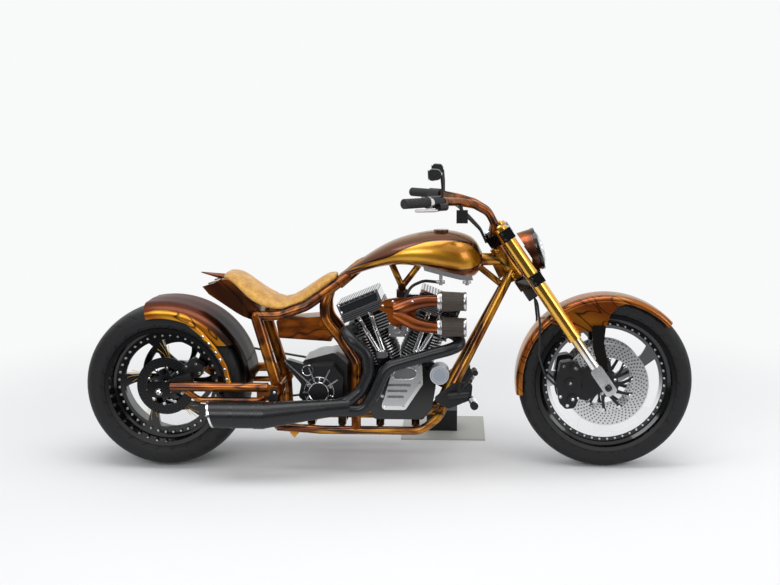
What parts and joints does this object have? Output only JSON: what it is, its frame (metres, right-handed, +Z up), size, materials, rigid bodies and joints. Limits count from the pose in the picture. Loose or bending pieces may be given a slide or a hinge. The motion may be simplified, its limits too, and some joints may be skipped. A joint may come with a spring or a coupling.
{
  "type": "chopper motorcycle",
  "caption": "Raked V-twin chopper with a wide rear tyre, leaning on its side stand over a block; the wheels, steering and side stand turn.",
  "frame": {"origin": "middle of the whole machine's outer box, on the floor", "axes": "+X forward, +Y to the rider's left, +Z up; the machine leans 2.6 degrees to +Y"},
  "size_m": [2.4599, 0.9796, 1.2314],
  "materials": {
    "copper_paint": "candy gloss",
    "gold_anodised": "gold anodised",
    "polished_aluminium": "polished",
    "chrome": "mirror",
    "black_gloss": "gloss",
    "black_satin": "satin",
    "exhaust_black": "matt ceramic",
    "brake_steel": "brushed",
    "tyre": "matt",
    "belt_rubber": "matt",
    "seat_leather": "embossed",
    "filter_gauze": "woven",
    "lamp_glass": "clear",
    "plate_plastic": "matt"
  },
  "bodies": {
    "chassis": {"frame_spine": "copper_paint", "frame_cradle": "copper_paint", "frame_rear": "copper_paint", "swingarm": "copper_paint", "rear_axle": "black_gloss", "crankcase": "black_satin", "cylinders": "black_satin", "rocker_boxes": "black_satin", "pushrod_tubes": "chrome", "cam_cover": "polished_aluminium", "oil_filter": "polished_aluminium", "carburettor": "chrome", "intake_manifold": "copper_paint", "air_filters": "filter_gauze", "gearbox": "black_gloss", "primary_cover": "black_gloss", "drive_belt": "belt_rubber", "exhaust": "exhaust_black", "oil_box": "copper_paint", "tank": "copper_paint", "fuel_taps": "chrome", "fuel_hose": "belt_rubber", "seat": "seat_leather", "tail_cowl": "copper_paint", "rear_fender": "copper_paint", "rear_caliper": "black_satin", "forward_controls": "black_satin", "stand_plate": "plate_plastic", "stand_block": "belt_rubber"},
    "fork": {"triple_clamps": "black_gloss", "fork_tubes": "gold_anodised", "fork_legs": "polished_aluminium", "front_calipers": "black_satin", "handlebar": "copper_paint", "grips": "belt_rubber", "bar_controls": "black_satin", "mirrors": "black_satin", "headlight": "copper_paint", "headlight_lens": "lamp_glass", "front_fender": "copper_paint", "bar_cables": "belt_rubber", "brake_hose": "belt_rubber"},
    "front_wheel": {"front_tyre": "tyre", "front_rim": "black_gloss", "front_wheel_centre": "chrome", "front_discs": "brake_steel"},
    "rear_wheel": {"rear_tyre": "tyre", "rear_rim": "black_gloss", "rear_wheel_centre": "black_gloss", "rear_disc": "brake_steel", "rear_pulley": "black_gloss"},
    "side_stand": {"side_stand": "black_satin"}
  },
  "joints": [
    {"name": "steering", "type": "hinge", "parent": "chassis", "child": "fork", "pos_m": [0.83909, -0.11274, 0.31903], "axis": [-0.565, 0.0374, 0.8243], "range_deg": [-32, 32]},
    {"name": "front_wheel_spin", "type": "hinge", "parent": "fork", "child": "front_wheel", "pos_m": [0.882, -0.11141, 0.34838], "axis": [0, 0.999, -0.0454], "continuous": true},
    {"name": "rear_wheel_spin", "type": "hinge", "parent": "chassis", "child": "rear_wheel", "pos_m": [-0.898, -0.11213, 0.33239], "axis": [0, 0.999, -0.0454], "continuous": true},
    {"name": "side_stand_fold", "type": "hinge", "parent": "chassis", "child": "side_stand", "pos_m": [0.187, 0.0527, 0.17075], "axis": [0, 0.1972, 0.9804], "range_deg": [0, 85]}
  ]
}
